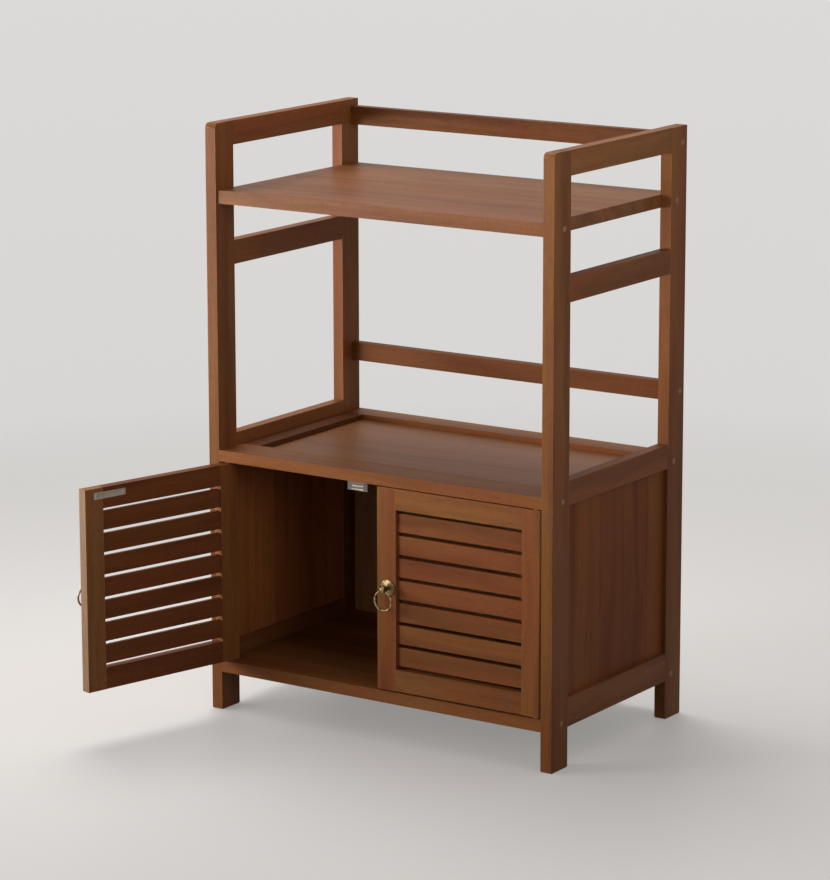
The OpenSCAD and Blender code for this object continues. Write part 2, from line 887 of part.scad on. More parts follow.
module left_catch() { color(catch_grey) catch_housing(); }
module right_catch() { mirror([1, 0, 0]) left_catch(); }
module catch_pole_plates() { color(steel) both_sides() pole_plates(); }
module catch_screws() { color(steel) both_sides() catch_screw_pair(); }

module left_hinge_stile() { color(lit_wood) on_left_door(left_open) hinge_stile(); }
module left_meeting_stile() { color(lit_wood) on_left_door(left_open) meeting_stile(); }
module left_door_top_rail() { color(lit_wood) on_left_door(left_open) door_top_rail(); }
module left_door_bottom_rail() { color(lit_wood) on_left_door(left_open) door_bottom_rail(); }
module left_slats() { color(slat_wood) on_left_door(left_open) slats(); }
module left_pivot_pins() { color(steel) on_left_door(left_open) pivot_pins(); }
module left_strike_plate() { color(steel) on_left_door(left_open) strike_plate(); }
module left_strike_screws() { color(steel) on_left_door(left_open) strike_screws(); }
module left_handle_plate() { color(brass) on_left_door(left_open) handle_plate(); }
module left_ring() { color(brass) on_left_door(left_open) ring(); }

module right_hinge_stile() { color(lit_wood) on_right_door() hinge_stile(); }
module right_meeting_stile() { color(lit_wood) on_right_door() meeting_stile(); }
module right_door_top_rail() { color(lit_wood) on_right_door() door_top_rail(); }
module right_door_bottom_rail() { color(lit_wood) on_right_door() door_bottom_rail(); }
module right_slats() { color(slat_wood) on_right_door() slats(); }
module right_pivot_pins() { color(steel) on_right_door() pivot_pins(); }
module right_strike_plate() { color(steel) on_right_door() strike_plate(); }
module right_strike_screws() { color(steel) on_right_door() strike_screws(); }
module right_handle_plate() { color(brass) on_right_door() handle_plate(); }
module right_ring() { color(brass) on_right_door() ring(); }

left_front_post();
left_rear_post();
left_top_rail();
left_middle_rail();
left_lower_rail();
left_bottom_rail();
left_side_panel();
right_front_post();
right_rear_post();
right_top_rail();
right_middle_rail();
right_lower_rail();
right_bottom_rail();
right_side_panel();
shelf();
back_top_rail();
back_middle_rail();
top_front_member();
top_back_member();
top_left_member();
top_right_member();
top_panel();
floor_front_rail();
floor_back_rail();
floor_panel();
back_panel();
shelf_bolts();
top_bolts();
floor_bolts();
back_rail_bolts();
barrel_nuts();
bolt_caps();
upper_pivot_bushes();
lower_pivot_bushes();
left_catch();
right_catch();
catch_pole_plates();
catch_screws();
left_hinge_stile();
left_meeting_stile();
left_door_top_rail();
left_door_bottom_rail();
left_slats();
left_pivot_pins();
left_strike_plate();
left_strike_screws();
left_handle_plate();
left_ring();
right_hinge_stile();
right_meeting_stile();
right_door_top_rail();
right_door_bottom_rail();
right_slats();
right_pivot_pins();
right_strike_plate();
right_strike_screws();
right_handle_plate();
right_ring();
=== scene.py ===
# %% [markdown]
# # Dressing a kitchen cabinet
#
# The real object is a small free-standing cabinet of brown lacquered wood: two side frames carry
# a shelf, and below it a cupboard has two louvred doors with brass ring pulls. Its solids are
# already drawn to size, so this lesson loads them, sets up the camera and the light, and then
# gives each piece the surface that the real one has. All lengths are in metres, +Z is up, and
# the doors are on the -Y side.

# %% Load the solids
import math

import bmesh
import bpy
from mathutils import Matrix, Vector


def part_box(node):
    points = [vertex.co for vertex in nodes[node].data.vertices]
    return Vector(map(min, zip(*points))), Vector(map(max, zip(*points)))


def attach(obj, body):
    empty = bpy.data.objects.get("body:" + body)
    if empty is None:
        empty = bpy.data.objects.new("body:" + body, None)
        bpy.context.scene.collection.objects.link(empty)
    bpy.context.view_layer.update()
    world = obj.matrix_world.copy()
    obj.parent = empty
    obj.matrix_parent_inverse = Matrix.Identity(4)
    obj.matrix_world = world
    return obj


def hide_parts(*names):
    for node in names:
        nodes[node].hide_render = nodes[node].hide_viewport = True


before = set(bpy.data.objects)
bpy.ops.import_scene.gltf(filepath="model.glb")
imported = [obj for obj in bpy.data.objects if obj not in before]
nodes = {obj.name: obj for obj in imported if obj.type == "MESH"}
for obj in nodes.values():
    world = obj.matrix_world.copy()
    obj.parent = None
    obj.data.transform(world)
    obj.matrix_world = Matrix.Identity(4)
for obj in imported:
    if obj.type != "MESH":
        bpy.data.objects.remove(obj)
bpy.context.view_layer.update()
print("pieces from the drawing:", len(nodes))

# %% [markdown]
# ## Camera
#
# The photograph was taken from the right of the front, from above the cabinet's top, with a
# long lens. A camera can be matched to a picture by hand, but fitting it to the straight edges
# of the furniture gives a place and a lens that repeat them all. The lens axis does not meet
# the middle of the picture, and the camera's shift says by how much.

# %% Camera
PHOTO_WIDTH, PHOTO_HEIGHT = 830, 880
FOCAL_PIXELS = 3619.2
AXIS_PIXEL = (421.0, 389.4)
EYE = Vector((2.88496, -4.37573, 1.57092))
AIM = Vector((-0.04485, 0.002, 0.48736))
ROLL = math.radians(-0.08)

lens = bpy.data.cameras.new("camera")
lens.lens = FOCAL_PIXELS / PHOTO_HEIGHT * lens.sensor_width
lens.shift_x = (PHOTO_WIDTH / 2 - AXIS_PIXEL[0]) / PHOTO_HEIGHT
lens.shift_y = (AXIS_PIXEL[1] - PHOTO_HEIGHT / 2) / PHOTO_HEIGHT
lens.clip_end = 100
camera = bpy.data.objects.new("camera", lens)
facing = (AIM - EYE).to_track_quat("-Z", "Y").to_matrix().to_4x4()
camera.matrix_world = Matrix.Translation(EYE) @ facing @ Matrix.Rotation(ROLL, 4, "Z")
bpy.context.scene.collection.objects.link(camera)
bpy.context.scene.camera = camera
bpy.context.scene.view_settings.view_transform = "Standard"
print(f"lens {lens.lens:.1f} mm, shift {lens.shift_x:.4f}, {lens.shift_y:.4f}")

# %% [markdown]
# ## Writing materials as sums
#
# A material in Blender is a graph of nodes. Wiring a graph by hand in Python takes many lines,
# so one small class wraps a number in the graph and lets it be added, subtracted, multiplied
# or divided, and each such sum becomes a Math node. A second class holds a graph, for a
# material or for the world, and has a single method that makes every other node.

# %% Numbers in a material
class Number:
    """A number in a graph. A sum written with it adds a Math node."""

    def __init__(self, graph, socket):
        self.graph = graph
        self.socket = socket

    def join(self, operation, first, second=0.0):
        made = self.graph.node("Math", {"operation": operation}, {0: first, 1: second})
        return Number(self.graph, made.outputs[0])

    def __add__(self, other):
        return self.join("ADD", self, other)

    def __radd__(self, other):
        return self.join("ADD", other, self)

    def __sub__(self, other):
        return self.join("SUBTRACT", self, other)

    def __rsub__(self, other):
        return self.join("SUBTRACT", other, self)

    def __mul__(self, other):
        return self.join("MULTIPLY", self, other)

    def __rmul__(self, other):
        return self.join("MULTIPLY", other, self)

    def __truediv__(self, other):
        return self.join("DIVIDE", self, other)

    def __rtruediv__(self, other):
        return self.join("DIVIDE", other, self)

    def floor(self):
        return self.join("FLOOR", self)

    def fraction(self):
        return self.join("FRACT", self)

    def size(self):
        return self.join("ABSOLUTE", self)

    def limited(self):
        """The number, kept between 0 and 1."""
        return self.join("MINIMUM", self.join("MAXIMUM", self, 0.0), 1.0)

    def above(self, start, gain):
        """0 up to the start, rising by the gain from there, and 1 at most."""
        return ((self - start) * gain).limited()


# %% Materials and their nodes
def paint(red, green, blue):
    """A screen colour from 0 to 255 as the linear values that a node takes."""
    linear = [((c / 255 + 0.055) / 1.055) ** 2.4 if c > 10 else c / 255 / 12.92
              for c in (red, green, blue)]
    return (*linear, 1.0)


class Graph:
    """A graph of shader nodes, with one method that makes them."""

    def __init__(self, tree):
        self.tree = tree

    def node(self, kind, settings, sockets):
        made = self.tree.nodes.new("ShaderNode" + kind)
        for name, value in settings.items():
            setattr(made, name, value)
        for name, value in sockets.items():
            self.feed(made.inputs[name], value)
        return made

    def feed(self, socket, value):
        """Links a value to a socket, or sets it there if it is a plain number or colour."""
        value = getattr(value, "socket", value)
        if isinstance(value, bpy.types.NodeSocket):
            self.tree.links.new(value, socket)
        else:
            socket.default_value = value

    def seen(self):
        """1 where the camera or a mirror looks, and 0 for light on its way to a surface."""
        rays = self.node("LightPath", {}, {}).outputs
        straight = Number(self, rays["Is Camera Ray"]) + Number(self, rays["Is Glossy Ray"])
        return (straight + Number(self, rays["Is Transmission Ray"])).limited()


class Finish(Graph):
    """A material's graph, with its coordinates and patterns."""

    def __init__(self, name, constants):
        self.material = bpy.data.materials.new(name)
        self.material.use_nodes = True
        super().__init__(self.material.node_tree)
        self.shader = self.tree.nodes["Principled BSDF"]
        for socket, value in constants.items():
            self.shader.inputs[socket].default_value = value

    def set(self, name, value):
        self.feed(self.shader.inputs[name], value)

    def place(self, turn=(0, 0, 0)):
        """Object coordinates, turned about the origin."""
        here = self.node("TexCoord", {}, {}).outputs["Object"]
        return self.node("Mapping", {}, {"Vector": here, "Rotation": turn}).outputs[0]

    def sway(self, place, scale, amount):
        """The coordinates, wandering across X by that much, so that the grain runs wavy."""
        slow = self.node("TexNoise", {}, {"Vector": place, "Scale": scale, "Detail": 1.0})
        moved = self.node("VectorMath", {"operation": "MULTIPLY_ADD"},
                          {0: slow.outputs["Color"], 1: (0, amount, amount), 2: place})
        return moved.outputs[0]

    def noise(self, place, waves, shift, detail=2.0):
        """Noise with so many waves in a metre along each axis. The shift picks a part of it."""
        start = (shift, shift * 1.7, shift * 2.3)
        sized = self.node("Mapping", {}, {"Vector": place, "Scale": waves, "Location": start})
        made = self.node("TexNoise", {}, {"Vector": sized.outputs[0], "Scale": 1.0,
                                          "Detail": detail})
        return Number(self, made.outputs["Fac"])

    def mix(self, share, first, second, way="MIX"):
        """The first colour, with that share of the second one over it."""
        made = self.node("Mix", {"data_type": "RGBA", "blend_type": way},
                         {0: share, 6: first, 7: second})
        return made.outputs[2]

    def arris(self, radius):
        """1 on a sharp edge of the piece, and 0 from that distance on."""
        rounded = self.node("Bevel", {"samples": 4}, {"Radius": radius}).outputs[0]
        flat = self.node("NewGeometry", {}, {}).outputs["Normal"]
        match = self.node("VectorMath", {"operation": "DOT_PRODUCT"}, {0: rounded, 1: flat})
        return ((1 - Number(self, match.outputs["Value"])) * 9).limited()

    def bump(self, height, strength, depth):
        """Shades the surface as if its height went up and down by that depth."""
        made = self.node("Bump", {}, {"Height": height, "Strength": strength, "Distance": depth})
        self.set("Normal", made.outputs[0])


# %% [markdown]
# ## Stained wood
#
# The boards are glued up from strips of hardwood, stained brown and covered with a satin
# lacquer. An image of planks could be wrapped on them, but it would stretch and repeat. Noise
# that is pulled long along the grain gives streaks of any length, and the same noise on the
# object's own coordinates runs on through a whole board. Slow noise drifts the stain between
# an olive and a reddish brown, faster noise draws the streaks, and fine dashes are the pores.

# %% Grain directions
# Each turn brings the grain of a piece onto the X axis.
LEFT_DOOR_ANGLE = math.radians(105)
ALONG_X = (0, 0, 0)
ALONG_Y = (0, 0, -math.pi / 2)
ALONG_Z = (0, math.pi / 2, 0)
ALONG_LEFT_DOOR = (0, 0, LEFT_DOOR_ANGLE)
# The way that the open door's free edge looks, which gets a painted highlight.
FREE_EDGE = (math.cos(LEFT_DOOR_ANGLE), -math.sin(LEFT_DOOR_ANGLE), 0)
print("the open door's free edge looks along", [round(v, 3) for v in FREE_EDGE])

# %% Stains and the sizes of the grain
OLIVE_STAIN = paint(141, 92, 48)
RED_STAIN = paint(138, 77, 44)
DARK_STREAK = paint(91, 51, 27)
PORE = paint(54, 28, 14)
# A lighter stain for rubbed arrises, also used as painted light over whole boards.
WEAR_AND_PAINTED_LIGHT = paint(176, 128, 84)
# A painted highlight on the open door's free edge.
PAINTED_HIGHLIGHT = paint(150, 124, 98)
# Painted light: the side panels are made this much paler inside the cupboard, where they lie in
# shade.
INSIDE_PAINTED_LIGHT = (1.8, 1.85, 1.7, 1.0)

# Waves in a metre, along the grain and then across it.
DRIFT_WAVES = (1.8, 16, 16)
STREAK_WAVES = (1.5, 34, 34)
BAND_WAVES = (2.2, 130, 130)
THREAD_WAVES = (5, 720, 720)
PORE_WAVES = (110, 3200, 3200)
RUB_WAVES = (12, 40, 40)
WANDER_WAVES = 5.0
WANDER = 0.03
SEAM_WIDTH = 0.0006
ARRIS = 0.002

# How strongly each pattern shows.
DRIFT_CONTRAST, STREAK_SHARE, BAND_SHARE = 3.4, 0.75, 0.4
# The last share is how strongly the painted highlight on the free edge shows.
PORE_SHARE, PAINTED_HIGHLIGHT_SHARE = 0.42, 0.85
print("wood drawn from waves of", [round(1 / waves[0], 3) for waves in
                                  (DRIFT_WAVES, STREAK_WAVES, THREAD_WAVES)], "m")


# %% Wood finish
def wood(name, grain, shift, strips=None, dark=0.0, red=0.0, wear=0.0, inside=None,
         pale=0.0, sheen=0.07, edge=None):
    """Lacquered wood. Strips, an (axis, width), are what the board is glued up from. Inside is
    the distance from the middle plane up to which it gets painted light, pale is a share of
    painted light over the whole board, and edge is the way that a narrow face with a painted
    highlight looks."""
    finish = Finish(name, {"IOR": 1.48, "Specular IOR Level": sheen})
    place = finish.place(grain)
    wavy = finish.sway(place, WANDER_WAVES, WANDER)
    drift = finish.noise(wavy, DRIFT_WAVES, shift)
    streak = finish.noise(wavy, STREAK_WAVES, shift + 5, detail=3.0)
    band = finish.noise(wavy, BAND_WAVES, shift + 11)
    thread = finish.noise(wavy, THREAD_WAVES, shift + 9)
    pores = finish.noise(place, PORE_WAVES, shift, detail=0.0).above(0.61, 8)

    tone = ((drift - 0.5) * DRIFT_CONTRAST + 0.5 + red).limited()
    depth = streak.above(0.46, 3.0) * STREAK_SHARE + dark
    if strips:
        axis, width = strips
        parts = finish.node("SeparateXYZ", {}, {0: place})
        across = Number(finish, parts.outputs[axis]) / width + shift
        strip = finish.node("TexWhiteNoise", {"noise_dimensions": "1D"}, {"W": across.floor()})
        own = Number(finish, strip.outputs["Value"])
        seam_share = SEAM_WIDTH / width
        seam = ((across.fraction() - 0.5).size() - 0.5 + seam_share) / seam_share
        tone = (tone * 0.6 + own * 0.5).limited()
        depth = depth + (own - 0.5) * 0.5 + seam.limited() * 0.5
    colour = finish.mix(tone, OLIVE_STAIN, RED_STAIN)
    # Painted light: the whole board is made paler by the pale share.
    if pale:
        colour = finish.mix(pale, colour, WEAR_AND_PAINTED_LIGHT)
    # A painted highlight on the narrow face that looks along edge.
    if edge:
        normal = finish.node("TexCoord", {}, {}).outputs["Normal"]
        facing = finish.node("VectorMath", {"operation": "DOT_PRODUCT"}, {0: normal, 1: edge})
        highlight_place = Number(finish, facing.outputs["Value"]).above(0.8, 8)
        colour = finish.mix(highlight_place * PAINTED_HIGHLIGHT_SHARE, colour, PAINTED_HIGHLIGHT)
    colour = finish.mix(depth.limited(), colour, DARK_STREAK)
    colour = finish.mix(band.above(0.47, 2.2) * BAND_SHARE, colour, DARK_STREAK)
    colour = finish.mix(thread.above(0.5, 1.0), colour, DARK_STREAK)
    colour = finish.mix(pores * PORE_SHARE, colour, PORE)
    # Painted light on the side panels' faces inside the cupboard.
    if inside:
        plain = finish.node("SeparateXYZ", {}, {0: finish.place()})
        inner = ((inside - Number(finish, plain.outputs["X"]).size()) * 1000).limited()
        colour = finish.mix(inner, colour, INSIDE_PAINTED_LIGHT, "MULTIPLY")
    if wear:
        rubbed = finish.noise(place, RUB_WAVES, shift + 3, detail=3.0).above(0.3, 2.2)
        colour = finish.mix(finish.arris(ARRIS) * rubbed * wear, colour, WEAR_AND_PAINTED_LIGHT)
    finish.set("Base Color", colour)
    finish.set("Roughness", 0.34 + streak * 0.08 + thread * 0.06)
    finish.bump(thread * 0.4 - pores, strength=0.35, depth=0.0002)
    return finish.material


# %% [markdown]
# ## Which board has which grain
#
# Posts and stiles have their grain upright, and rails, slats and shelves have it along their
# length. One material for each kind of board is enough, because a pattern on object
# coordinates differs from place to place. The left door stands open, so its rails and slats
# turn their grain by the door's angle and get a darker stain as painted shade, and its free
# edge gets a painted highlight. The top's side members and the back rails also get a darker
# stain as painted shade, and the back panel a paler one as painted light.

# %% The woods
low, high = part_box("right_side_panel")
PANEL_MIDDLE = (low.x + high.x) / 2
print(f"the side panels' middle planes are {PANEL_MIDDLE:.4f} from the middle")

post_wood = wood("post_wood", ALONG_Z, 1.3, dark=0.18, wear=0.6)
side_rail_wood = wood("side_rail_wood", ALONG_Y, 4.1, dark=0.06)
# A darker stain on the top's side members as painted shade.
member_wood_painted_shade = wood("member_wood_painted_shade", ALONG_Y, 4.9, dark=0.9)
# The side panels get painted light on their faces inside the cupboard.
side_panel_wood = wood("side_panel_wood", ALONG_Z, 2.6, strips=("Y", 0.068), red=0.5,
                       inside=PANEL_MIDDLE, sheen=0.04)
shelf_wood = wood("shelf_wood", ALONG_X, 7.7, strips=("Y", 0.072), dark=0.14, red=-0.5,
                  sheen=0.11)
rail_wood = wood("rail_wood", ALONG_X, 3.2, dark=-0.12)
# A darker stain on the back rails as painted shade.
back_rail_wood_painted_shade = wood("back_rail_wood_painted_shade", ALONG_X, 5.3, dark=0.5, sheen=0.05)
slat_wood = wood("slat_wood", ALONG_X, 6.1, dark=0.06, red=0.2)
top_panel_wood = wood("top_panel_wood", ALONG_X, 8.4, strips=("Y", 0.078), dark=-0.3,
                      red=-0.45, sheen=0.22)
floor_wood = wood("floor_wood", ALONG_X, 6.5, strips=("Y", 0.08), dark=0.1, red=-0.2)
# A paler stain on the back panel inside the cupboard as painted light.
back_wood_painted_light = wood("back_wood_painted_light", ALONG_Z, 5.9, strips=("Z", 0.09), dark=-0.6, pale=0.75)
stile_wood = wood("stile_wood", ALONG_Z, 9.3, dark=-0.15, wear=0.6)
# The open door's meeting stile is made paler as painted light, with a painted highlight on its
# free edge.
open_stile_wood_painted_light = wood("open_stile_wood_painted_light", ALONG_Z, 2.9, dark=-0.2, wear=0.8, pale=0.35,
                       edge=FREE_EDGE)
# The open door's rails and slats get a darker stain than the right door's as painted shade.
left_slat_wood_painted_shade = wood("left_slat_wood_painted_shade", ALONG_LEFT_DOOR, 2.2, dark=0.25, red=0.45)

# %% Dress the wooden pieces
WOODS = {
    post_wood: ["front_post", "rear_post"],
    side_rail_wood: ["top_rail", "middle_rail", "lower_rail", "bottom_rail"],
    member_wood_painted_shade: ["top_left_member", "top_right_member"],
    side_panel_wood: ["side_panel"],
    shelf_wood: ["shelf"],
    rail_wood: ["top_front_member", "top_back_member", "floor_front_rail", "floor_back_rail",
                "right_door_top_rail", "right_door_bottom_rail"],
    slat_wood: ["right_slats"],
    back_rail_wood_painted_shade: ["back_top_rail", "back_middle_rail"],
    top_panel_wood: ["top_panel"],
    floor_wood: ["floor_panel"],
    back_wood_painted_light: ["back_panel"],
    stile_wood: ["hinge_stile", "right_meeting_stile"],
    open_stile_wood_painted_light: ["left_meeting_stile"],
    left_slat_wood_painted_shade: ["left_door_top_rail", "left_door_bottom_rail", "left_slats"],
}


def names_of(name):
    """The nodes that a table's name stands for: itself, or the left and right one."""
    return [name] if name in nodes else ["left_" + name, "right_" + name]


def dress(table):
    """Gives each node in a table its material, and returns the nodes' names."""
    done = set()
    for material, names in table.items():
        for node in (node for name in names for node in names_of(name)):
            for slot in nodes[node].material_slots:
                slot.material = material
            done.add(node)
    return done


wooden = dress(WOODS)
print("wooden pieces:", len(wooden))

# %% [markdown]
# ## Eased edges
#
# Sanded furniture has no sharp edge: each arris is rounded by about half a millimetre, and it
# catches the light. The solids have sharp edges, because that keeps the joints exact. A Bevel
# modifier rounds what is seen and leaves the solid as it was. The solids come as loose
# triangles, so a Weld joins these first, and a planar Decimate makes flat faces of them.

# %% Ease the edges
WOOD_EASE, SMALL_EASE = 0.0006, 0.0003


def ease(node, width):
    """Rounds the sharp edges of a node, after its triangles are joined into flat faces."""
    piece = nodes[node]
    weld = piece.modifiers.new("weld", "WELD")
    weld.merge_threshold = 0.00001
    flat = piece.modifiers.new("flat_faces", "DECIMATE")
    flat.decimate_type = "DISSOLVE"
    flat.angle_limit = math.radians(0.5)
    bevel = piece.modifiers.new("eased_edges", "BEVEL")
    bevel.width = width
    bevel.segments = 2
    bevel.limit_method = "ANGLE"
    bevel.angle_limit = math.radians(30)
    bevel.harden_normals = True


for node in sorted(wooden):
    ease(node, WOOD_EASE)
print("edges eased by", WOOD_EASE)

# %% [markdown]
# ## Metal and plastic
#
# The ring pulls are old brass, dull in clouds and rubbed brighter between them. The catches
# are grey-brown plastic with steel plates, and brown caps cover the bolt heads. Noise in the
# colour and the roughness keeps such small pieces from looking like flat paint.

# %% Brass and steel
DULL_BRASS, BRIGHT_BRASS, TARNISH = paint(104, 84, 58), paint(184, 158, 118), paint(84, 66, 34)
DULL_STEEL, BRIGHT_STEEL = paint(160, 150, 136), paint(188, 180, 166)


def brass():
    """Old brass, with clouds of a rubbed tone and dark specks."""
    finish = Finish("aged_brass", {"Metallic": 1.0})
    place = finish.place()
    cloud = finish.noise(place, (160, 160, 160), 3.0, detail=3.0)
    speck = finish.noise(place, (900, 900, 900), 1.0, detail=1.0)
    worn = cloud.above(0.42, 3)
    colour = finish.mix(worn, DULL_BRASS, BRIGHT_BRASS)
    finish.set("Base Color", finish.mix(speck.above(0.6, 3), colour, TARNISH))
    finish.set("Roughness", 0.5 - worn * 0.12)
    finish.bump(cloud * 0.5 + speck, strength=0.2, depth=0.0002)
    return finish.material


def steel():
    """Plated steel with fine scratches that run one way."""
    finish = Finish("plated_steel", {"Metallic": 1.0})
    place = finish.place((0, 0, 0.4))
    scratch = finish.noise(place, (2500, 60, 900), 2.0)
    cloud = finish.noise(place, (120, 120, 120), 4.0)
    finish.set("Base Color", finish.mix(cloud, DULL_STEEL, BRIGHT_STEEL))
    finish.set("Roughness", 0.36 + scratch * 0.2)
    finish.bump(scratch, strength=0.1, depth=0.0001)
    return finish.material


aged_brass = brass()
plated_steel = steel()
print("metals:", aged_brass.name, plated_steel.name)


# %% Plastic
def plastic(name, light, dark, roughness):
    """Moulded plastic with a fine surface grain and a slight drift in its tone."""
    finish = Finish(name, {})
    place = finish.place()
    cloud = finish.noise(place, (90, 90, 90), 1.0)
    grain = finish.noise(place, (2200, 2200, 2200), 2.0, detail=1.0)
    finish.set("Base Color", finish.mix(cloud, dark, light))
    finish.set("Roughness", roughness + grain * 0.1)
    finish.bump(grain, strength=0.25, depth=0.0001)
    return finish.material


catch_plastic = plastic("catch_plastic", paint(120, 108, 92), paint(104, 92, 76), 0.4)
cap_plastic = plastic("cap_plastic", paint(140, 96, 62), paint(122, 80, 50), 0.45)
print("plastics:", catch_plastic.name, cap_plastic.name)

# %% Dress the hardware
HARDWARE = {
    aged_brass: ["handle_plate", "ring"],
    plated_steel: ["shelf_bolts", "top_bolts", "floor_bolts", "back_rail_bolts", "barrel_nuts",
                   "catch_pole_plates", "catch_screws", "pivot_pins", "strike_plate",
                   "strike_screws"],
    catch_plastic: ["left_catch", "right_catch", "upper_pivot_bushes", "lower_pivot_bushes"],
    cap_plastic: ["bolt_caps"],
}
hardware = dress(HARDWARE)
for node in ["left_handle_plate", "right_handle_plate", "left_catch", "right_catch", "bolt_caps",
             "catch_pole_plates"]:
    ease(node, SMALL_EASE)
print("hardware:", len(hardware), "left undressed:", sorted(set(nodes) - wooden - hardware))

# %% [markdown]
# ## Making a new piece
#
# The small hardware has detail that the solids leave out: cross recesses in the screws, a
# pressed strike plate, ribs on the catches. Each is shaped in a bmesh at its own origin. One
# helper carries it to its place, and the other turns its faces outwards and hangs it on a
# moving body. The object itself stays at the origin, because a finish on object coordinates
# would slide if the object were moved.

# %% Two helpers
def finish_piece(name, bm, material, body, stands_for=()):
    """Makes an object from a bmesh that is already in its place."""
    bmesh.ops.remove_doubles(bm, verts=bm.verts, dist=0.000001)
    bmesh.ops.recalc_face_normals(bm, faces=bm.faces)
    mesh = bpy.data.meshes.new(name)
    bm.to_mesh(mesh)
    bm.free()
    mesh.materials.append(material)
    mesh.shade_smooth()
    mesh.set_sharp_from_angle(angle=math.radians(35))
    piece = bpy.data.objects.new(name, mesh)
    bpy.context.scene.collection.objects.link(piece)
    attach(piece, body)
    if stands_for:
        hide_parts(*stands_for)
    print(name, len(mesh.polygons), "faces")


def carry(bm, part, place):
    """Moves the vertices of one part of a bmesh."""
    bmesh.ops.transform(bm, matrix=place, verts=part)


# %% [markdown]
# ## Where the doors are
#
# Hardware on a door is easiest to place from the door's own corner: X from the hinge edge, Y
# from the front face, Z from the underside. One matrix for each door carries such a place into
# the room. The left door is turned about its pivot by its angle, and the right one is the
# mirror image of a shut left door.

# %% Two frames for the hardware
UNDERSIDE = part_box("right_hinge_stile")[0].z
PIVOT = Vector((-0.2705, -0.174, UNDERSIDE))
# The pivot is 10 mm from the door's hinge edge and 7.5 mm behind its front face.
TO_CORNER = Matrix.Translation((-0.010, -0.0075, 0))
ON_LEFT_DOOR = (Matrix.Translation(PIVOT) @ Matrix.Rotation(-LEFT_DOOR_ANGLE, 4, "Z")
                @ TO_CORNER)
ON_RIGHT_DOOR = Matrix.Scale(-1, 4, (1, 0, 0)) @ Matrix.Translation(PIVOT) @ TO_CORNER
DOORS = {"left": ON_LEFT_DOOR, "right": ON_RIGHT_DOOR}
for side, place in DOORS.items():
    print(side, "door corner", [round(v, 4) for v in place.translation])

# %% [markdown]
# ## Screws
#
# A strike plate and a catch are each held by two small pan-head screws with a cross recess. The
# recess could be cut with a boolean, but it is simpler to start from a square grid, push its
# outline into a circle, and sink the faces that form the cross.

# %% One screw
HEAD_RADIUS, HEAD_HEIGHT = 0.0025, 0.001
SHANK_RADIUS, TIP_RADIUS = 0.00125, 0.0003
GRID_CELLS = 14
CROSS_HALF_WIDTH, CROSS_REACH = 0.15, 0.62
CROSS_DEPTH, CROSS_TAPER = 0.0006, 0.8
CROWN_DROP = 0.75


def add_screw(bm, place, length):
    """A screw that is driven along -Z, with the seat of its head at the origin."""
    others = set(bm.verts)
    head = bmesh.ops.create_grid(bm, x_segments=GRID_CELLS, y_segments=GRID_CELLS, size=1)["verts"]
    cross = []
    for face in dict.fromkeys(face for vertex in head for face in vertex.link_faces):
        x, y, _ = (abs(v) for v in face.calc_center_median())
        if min(x, y) < CROSS_HALF_WIDTH and max(x, y) < CROSS_REACH:
            cross.append(face)
    for vertex in head:
        x, y, _ = vertex.co
        round_x, round_y = x * math.sqrt(1 - y * y / 2), y * math.sqrt(1 - x * x / 2)
        crown = 1 - CROWN_DROP * (round_x ** 2 + round_y ** 2) ** 2
        vertex.co = (round_x * HEAD_RADIUS, round_y * HEAD_RADIUS, crown * HEAD_HEIGHT)
    rim = [e for e in bm.edges if e.is_boundary and e.verts[0] in head]
    skirt = [v for v in bmesh.ops.extrude_edge_only(bm, edges=rim)["geom"]
             if isinstance(v, bmesh.types.BMVert)]
    for vertex in skirt:
        vertex.co.z = 0
    sunk = [v for v in bmesh.ops.extrude_face_region(bm, geom=cross)["geom"]
            if isinstance(v, bmesh.types.BMVert)]
    bmesh.ops.delete(bm, geom=cross, context="FACES")
    for vertex in sunk:
        vertex.co = (vertex.co.x * CROSS_TAPER, vertex.co.y * CROSS_TAPER,
                     vertex.co.z - CROSS_DEPTH)
    bmesh.ops.create_cone(bm, cap_ends=True, segments=16, radius1=TIP_RADIUS,
                          radius2=SHANK_RADIUS, depth=length,
                          matrix=Matrix.Translation((0, 0, -length / 2)))
    carry(bm, [v for v in bm.verts if v not in others], place)


print("screw heads are", HEAD_RADIUS * 2, "across")

# %% Screws of the strike plates
SCREW_TO_END = 0.004
STRIKE_SCREW_LENGTH = 0.0095
# Driven screws stop at any angle, so each cross is turned by its own.
STRIKE_TURN, TURN_STEP = 1.2, 0.2
FACING_BACK = Matrix.Rotation(-math.pi / 2, 4, "X")
low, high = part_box("right_strike_plate")
plate_length, plate_thickness, plate_width = high - low
plate_middle = ON_RIGHT_DOOR.inverted() @ ((low + high) / 2)
print(f"strike plates: {plate_length:.4f} long, middle at {plate_middle.x:.4f} on the door")
for side, place in DOORS.items():
    bm = bmesh.new()
    for end in (-1, 1):
        seat = plate_middle + Vector((end * (plate_length / 2 - SCREW_TO_END),
                                      plate_thickness / 2, 0))
        turn = Matrix.Rotation(STRIKE_TURN + end * TURN_STEP, 4, "Z")
        add_screw(bm, place @ Matrix.Translation(seat) @ FACING_BACK @ turn,
                  STRIKE_SCREW_LENGTH)
    finish_piece(side + "_strike_screw_pair", bm, plated_steel, side + "_door",
                 [side + "_strike_screws"])

